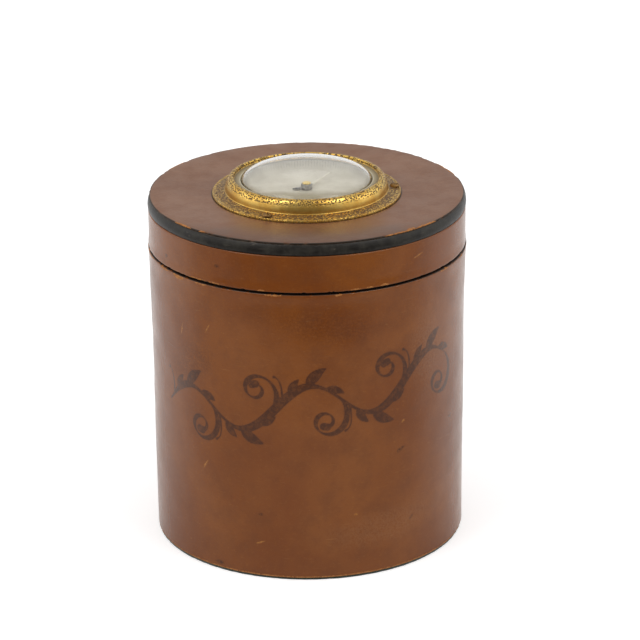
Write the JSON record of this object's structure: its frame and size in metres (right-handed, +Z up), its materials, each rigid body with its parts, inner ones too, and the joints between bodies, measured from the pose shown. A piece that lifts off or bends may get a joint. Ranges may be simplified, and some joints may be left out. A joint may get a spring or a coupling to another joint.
{
  "type": "humidor jar",
  "caption": "Round leather-covered humidor jar with a lift-off lid on a cedar neck and a domed dial hygrometer in a brass bezel set in the lid.",
  "frame": {"origin": "middle of the foot, on the surface that the jar stands on", "axes": "+Z up along the jar's axis, front towards -Y, +X to the right as seen from the front"},
  "size_m": [0.141, 0.141, 0.1703],
  "materials": {
    "saddle_leather": "smooth waxed saddle leather, aged and scratched",
    "black_leather": "black polished leather strip",
    "beech": "plain turned beech",
    "cedar": "unvarnished cedar",
    "green_felt": "dark green felt",
    "aged_brass": "old brass with brown speckled tarnish",
    "bright_brass": "clean brass",
    "clear_glass": "clear domed glass",
    "dial_paint": "faded off-white dial paint with stains",
    "dark_steel": "darkened steel",
    "pad_cloth": "absorbent felted pad"
  },
  "bodies": {
    "jar": {"base_felt": "green_felt", "base_board": "beech", "body_core": "beech", "body_leather": "saddle_leather", "cedar_floor": "cedar", "cedar_lining": "cedar"},
    "lid": {"lid_ring": "beech", "lid_top_board": "beech", "lid_skirt_leather": "saddle_leather", "lid_edge_strip": "black_leather", "lid_top_leather": "saddle_leather", "lid_lining": "cedar", "hygrometer_bezel": "aged_brass", "hygrometer_glass": "clear_glass", "glass_spacer": "dial_paint", "dial": "dial_paint", "hygrometer_case": "aged_brass", "movement_bridge": "bright_brass", "spiral_element": "bright_brass", "anchor_post": "bright_brass", "bridge_screw_1": "bright_brass", "bridge_screw_2": "bright_brass", "bezel_screw_1": "aged_brass", "bezel_screw_2": "aged_brass", "bezel_screw_3": "aged_brass", "air_grille": "aged_brass", "moistener_tray": "aged_brass", "moistener_pad": "pad_cloth", "grille_screw_1": "aged_brass", "grille_screw_2": "aged_brass", "grille_screw_3": "aged_brass", "tray_screw_1": "aged_brass", "tray_screw_2": "aged_brass", "tray_screw_3": "aged_brass"},
    "pointer_set": {"arbor": "dark_steel", "spiral_collet": "bright_brass", "pointer": "dark_steel", "pointer_cap": "bright_brass"}
  },
  "joints": [
    {"name": "lid_lift", "type": "slide", "parent": "jar", "child": "lid", "axis": [0, 0, 1], "range_m": [0, 0.12]},
    {"name": "pointer_turn", "type": "hinge", "parent": "lid", "child": "pointer_set", "pos_m": [0, 0, 0.16], "axis": [0, 0, 1], "range_deg": [-95, 175], "stiffness_Nm_per_rad": 0.00002, "deforming": ["spiral_element"]}
  ]
}
